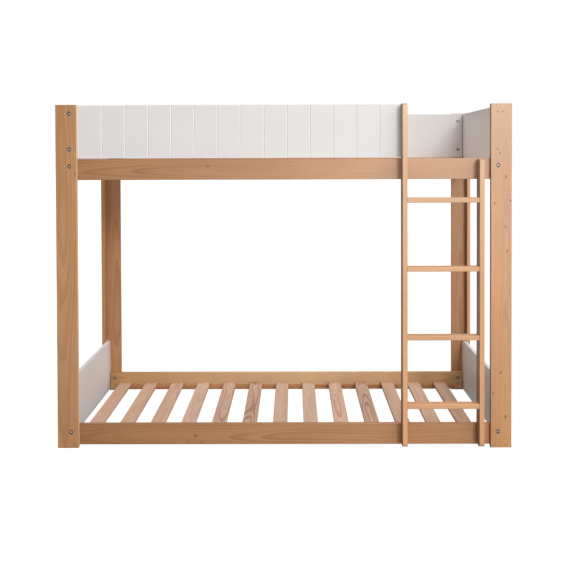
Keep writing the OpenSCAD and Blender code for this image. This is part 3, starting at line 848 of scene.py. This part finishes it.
slatSet = {
    **pineSet,
    "pale": (0.640, 0.410, 0.285), "dark": (0.500, 0.270, 0.165), "haze": (0.720, 0.520, 0.400),
    "arris": (0.380, 0.190, 0.100), "arrisWidth": 2.8 * mm, "arrisShare": 0.60,
    # Painted shade on the slats' -X faces
    "leftSide": (0.200, 0.090, 0.040), "leftShare": 0.5,
    "spacing": 11 * mm, "wave": 0.050, "ringShare": 0.80, "drift": 0.06, "fibre": 0.03,
    "rough": 0.50, "sheen": 0.7, "bump": 0.40, "figured": (5, 6, 9, 10),
    # Slat tones differ from slat to slat; the pale-and-sheen shares are paler wood with painted sheen
    "tones": [1.0, 0.99, 1.0, 1.02, 1.02, 0.94, 1.03, 1.03, 1.14, 0.98, 1.01, 1.03, 0.96],
    "hazes": [0.05, 0.0, 0.05, 0.35, 0.1, 0.0, 0.15, 0.40, 0.15, 0.0, 0.0, 0.15, 0.05],
}
figuredSet = {**slatSet, "dark": (0.400, 0.165, 0.095), "ringShare": 1.0, "spacing": 8 * mm, "wave": 0.080}
slatWood = makeWood("slatPine", slatSet)
figuredWood = makeWood("slatFigured", figuredSet)
for level in ("lower", "upper"):
    for number, (value, haze) in enumerate(zip(slatSet["tones"], slatSet["hazes"]), 1):
        slatPith = (draw.uniform(-0.012, 0.012), draw.uniform(0.004, 0.022), draw.uniform(-0.03, 0.03))
        slatMat = figuredWood if number in slatSet["figured"] else slatWood
        slatTone = (value, value, haze, haze, 0.0)
        makeBoard(f"slat_{level}_{number}", slatMat, 0.5 * mm, slatPith, slatTone)
print("slats made")

ladderSet = {
    **pineSet,
    "pale": (0.700, 0.365, 0.172), "dark": (0.560, 0.255, 0.095), "haze": (0.800, 0.560, 0.360),
    "arris": (0.400, 0.180, 0.065), "arrisWidth": 2.6 * mm, "arrisShare": 0.65,
    # Painted shade on the -X faces and a lighter painted shade in holes
    "leftSide": (0.085, 0.030, 0.010), "leftShare": 0.75, "hole": (0.150, 0.060, 0.020), "holeShare": 0.5,
    "spacing": 6.5 * mm, "wave": 0.030, "ringShare": 0.45, "sheen": 0.9,
    # Ladder tones: partly the wood's own, partly painted sheen
    "tones": {
        "ladder_stile_left": (1.06, 0.96, 0.0, 0.80, -0.3),
        "ladder_stile_right": (0.99, 0.97, 0.0, 0.50, -0.25),
        "ladder_rung_1": (0.95, 0.95, 0.05, 0.05, 0.0), "ladder_rung_2": (0.98, 0.98, 0.1, 0.1, 0.0),
        "ladder_rung_3": (1.00, 1.00, 0.2, 0.2, 0.0), "ladder_rung_4": (1.00, 1.00, 0.3, 0.3, 0.0),
    },
}
ladderWood = makeWood("ladderPine", ladderSet)
for ladderNode, ladderTone in ladderSet["tones"].items():
    makeBoard(ladderNode, ladderWood, tone=ladderTone)
print("ladder made")

panelSet = {
    "colour": (0.795, 0.778, 0.770), "uneven": 0.015, "speckValue": 0.985, "rough": 0.42, "bump": 0.20,
    "arris": (0.960, 0.950, 0.940), "arrisWidth": 4.5 * mm, "arrisShare": 0.85,
    "litWall": (0.970, 0.965, 0.960), "litShare": 0.9, "dimWall": (0.560, 0.545, 0.535), "dimShare": 0.6,
    # Painted shade round the bolt recesses
    "sink": (0.100, 0.085, 0.075), "sinkShare": 0.7,
    # Panel tones are painted light and shade: brighter panels, falloff along them, darker ends
    "tones": {
        "guard_panel": (0.90, 0.99, 0.0, 0.0, 0.0), "back_panel": (0.86, 0.86, 0.0, 0.0, 0.287),
        "end_panel_upper_right": (1.03, 1.03, 0.0, 0.0, 0.0),
    },
    "tone": (1.0, 1.0, 0.0, 0.0, 0.0),
}
panelWhite = makeWhite("satinWhite", panelSet)
for panelNode in [n for n in cadNodes if "panel" in n]:
    panelMat = panelWhite
    if panelNode == "back_panel":
        panelMat = makeWhite("backWhite", panelSet, sinksOn(panelNode))
    panelTone = panelSet["tones"].get(panelNode, panelSet["tone"])
    makeBoard(panelNode, panelMat, 0.7 * mm, tone=panelTone)
print("panels made")


# Extrudes a closed loop of edges through a list of (radius, depth) steps and closes it.
def turnOut(bm, edges, steps):
    for radius, depth in steps:
        made = bmesh.ops.extrude_edge_only(bm, edges=edges)["geom"]
        edges = [e for e in made if isinstance(e, bmesh.types.BMEdge)]
        for vert in {v for e in edges for v in e.verts}:
            flat = Vector((vert.co.x, vert.co.y)).normalized() * radius
            vert.co = (flat.x, flat.y, depth)
    bmesh.ops.edgeloop_fill(bm, edges=edges)


# Pushes faces into the head and gives back the points that moved.
def pushIn(bm, faces, depth):
    made = bmesh.ops.extrude_face_region(bm, geom=faces)["geom"]
    moved = [v for v in made if isinstance(v, bmesh.types.BMVert)]
    bmesh.ops.translate(bm, vec=(0, 0, depth), verts=moved)
    return moved


# A turned head with a hexagon socket. Depths run into the wood, along +Z from the top of the head.
def socketHead(s, steps):
    bm = bmesh.new()
    corner = s["socket"] / 2 / math.cos(math.radians(30))
    bmesh.ops.create_circle(bm, cap_ends=True, segments=6, radius=corner)
    bmesh.ops.subdivide_edges(bm, edges=bm.edges, cuts=3)
    rim = list(bm.edges)
    pushIn(bm, list(bm.faces), s["socketDepth"])
    turnOut(bm, rim, steps)
    bmesh.ops.recalc_face_normals(bm, faces=bm.faces)
    return bm


# A countersunk head with a cross recess, and a plain shank that ends in a point
def crossHead(s, length):
    bm = bmesh.new()
    bmesh.ops.create_grid(bm, x_segments=3, y_segments=3, size=1.0)
    for vert in bm.verts:
        for i in (0, 1):
            vert.co[i] = math.copysign(s["reach"] if abs(vert.co[i]) > 0.9 else s["blade"], vert.co[i])
    centres = {f: f.calc_center_median() for f in bm.faces}
    slot = [f for f in bm.faces if min(abs(centres[f].x), abs(centres[f].y)) < mergeWithin]
    rim = [e for e in bm.edges if len(e.link_faces) == 1]
    down = pushIn(bm, slot, s["recess"])
    bmesh.ops.scale(bm, vec=(s["taper"], s["taper"], 1), verts=down)
    bmesh.ops.subdivide_edges(bm, edges=rim, cuts=1)
    rim = [e for e in bm.edges if len(e.link_faces) == 1]
    head, shank = s["head"] / 2, s["shank"] / 2
    turnOut(bm, rim, [
        (head - 0.25 * mm, 0), (head, 0.2 * mm), (shank, head - shank),
        (shank, length - 2 * shank), (0.3 * mm, length),
    ])
    bmesh.ops.recalc_face_normals(bm, faces=bm.faces)
    return bm


smoothTo = math.radians(30)


# Sets one copy of a fastener at each place of a CAD node, each turned a little differently.
def setFasteners(name, node, template, mat):
    bm = bmesh.new()
    shapes = {}
    turned = []
    for top, into, length in fastenerPlaces(node):
        key = round(length, 4)
        if key not in shapes:
            made = template(length)
            shapes[key] = bpy.data.meshes.new(f"{name}Shape")
            made.to_mesh(shapes[key])
            made.free()
        count = len(bm.verts)
        bm.from_mesh(shapes[key])
        bm.verts.ensure_lookup_table()
        added = bm.verts[count:]
        turned += [(math.hypot(v.co.x, v.co.y), v.co.z, 0.0) for v in added]
        face = into.to_track_quat("Z", "Y").to_matrix().to_4x4()
        turn = face @ Matrix.Rotation(draw.uniform(0, math.pi), 4, "Z")
        bmesh.ops.transform(bm, matrix=Matrix.Translation(top) @ turn, verts=added)
    for face in bm.faces:
        face.smooth = True
    for edge in bm.edges:
        edge.smooth = edge.calc_face_angle(0) < smoothTo
    mesh = bpy.data.meshes.new(name)
    bm.to_mesh(mesh)
    bm.free()
    addVectors(mesh, "turnedPlace", turned)
    for shape in shapes.values():
        bpy.data.meshes.remove(shape)
    addPiece(name, mesh, mat, node)


# The ring colour is painted shade round the rim of each head and in its socket.
steelSet = {
    "colour": (0.88, 0.87, 0.84), "cloud": (0.74, 0.72, 0.69), "spot": (0.45, 0.43, 0.40), "spotShare": 0.5,
    "ring": (0.045, 0.035, 0.025), "ringFrom": 2.8 * mm, "ringWidth": 0.9 * mm, "ringShare": 0.9,
    "sunkFrom": 0.4 * mm, "sunkTo": 1.2 * mm, "metallic": 0.45, "rough": 0.30, "scale": 1.0,
}
screwSteelSet = {**steelSet, "rough": 0.36, "scale": 1.4, "ringFrom": 2.2 * mm}
boltSet = {
    "head": 12.8 * mm, "headHeight": 5 * mm, "shank": 8 * mm,
    "socket": 5 * mm, "socketDepth": 2.6 * mm, "flats": (3.6 * mm, 4.5 * mm),
}
nutSet = {
    "head": 12.6 * mm, "flange": 1.5 * mm, "barrel": 11 * mm, "bore": 8.4 * mm,
    "socket": 6 * mm, "socketDepth": 1.0 * mm, "flats": (3.8 * mm, 4.7 * mm),
}
screwSet = {
    "head": 8 * mm, "shank": 4 * mm, "reach": 2.2 * mm, "blade": 0.55 * mm,
    "taper": 0.55, "recess": 1.7 * mm,
}
boltSteel = makeSteel("zincBolts", steelSet)
screwSteel = makeSteel("zincScrews", screwSteelSet)


def boltShape(length):
    head, shank, high = boltSet["head"] / 2, boltSet["shank"] / 2, boltSet["headHeight"]
    return socketHead(boltSet, [
        *((radius, 0) for radius in boltSet["flats"]),
        (head - 0.7 * mm, 0), (head - 0.2 * mm, 0.2 * mm), (head, 0.7 * mm), (head, high),
        (shank, high), (shank, length - 1 * mm), (shank - 0.8 * mm, length),
    ])


def nutShape(length):
    head, barrel, bore = nutSet["head"] / 2, nutSet["barrel"] / 2, nutSet["bore"] / 2
    thick = nutSet["flange"]
    return socketHead(nutSet, [
        *((radius, 0) for radius in nutSet["flats"]),
        (head - 0.5 * mm, 0), (head, 0.4 * mm), (head, thick), (barrel, thick),
        (barrel, length), (bore, length), (bore, thick + 0.1 * mm),
    ])


def screwShape(length):
    return crossHead(screwSet, length)


setFasteners("frameBolts", "frame_bolts", boltShape, boltSteel)
setFasteners("sleeveNuts", "sleeve_nuts", nutShape, boltSteel)
setFasteners("woodScrews", "wood_screws", screwShape, screwSteel)
setFasteners("slatScrews", "slat_screws", screwShape, screwSteel)
print("fasteners made")

# The dowels and the inserts keep their CAD shapes.
dowelSet = {
    "pale": (0.640, 0.420, 0.260), "dark": (0.520, 0.300, 0.160),
    "fleck": 240.0, "broad": 9.0, "rough": 0.6,
}


def makeDowelWood(name, s):
    mat, tree, shader = startMaterial(name)
    coords = tree.nodes.new("ShaderNodeTexCoord").outputs["Object"]
    fleck = noise(tree, coords, s["fleck"], 3.0, 0.6)
    broad = noise(tree, coords, s["broad"])
    colour = mixColour(tree, ease(tree, fleck, 0.35, 0.7), s["pale"], s["dark"])
    colour = brighten(tree, colour, ease(tree, broad, 0.2, 0.8, 0.92, 1.08))
    plug(tree, colour, shader.inputs["Base Color"])
    rough = ease(tree, fleck, 0.2, 0.8, s["rough"] - 0.05, s["rough"] + 0.08)
    plug(tree, rough, shader.inputs["Roughness"])
    addBump(tree, shader, fleck, 0.3, 0.2 * mm)
    return mat


def repaint(node, mat):
    mesh = cadNodes[node].data
    mesh.materials.clear()
    mesh.materials.append(mat)


repaint("dowels", makeDowelWood("beechDowel", dowelSet))
repaint("ladder_inserts", boltSteel)
print("dowels and inserts painted")

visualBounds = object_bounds()
for label, box in (("cad box", cadBounds), ("visual box", visualBounds)):
    print(label, [round(x, 4) for corner in box for x in corner])
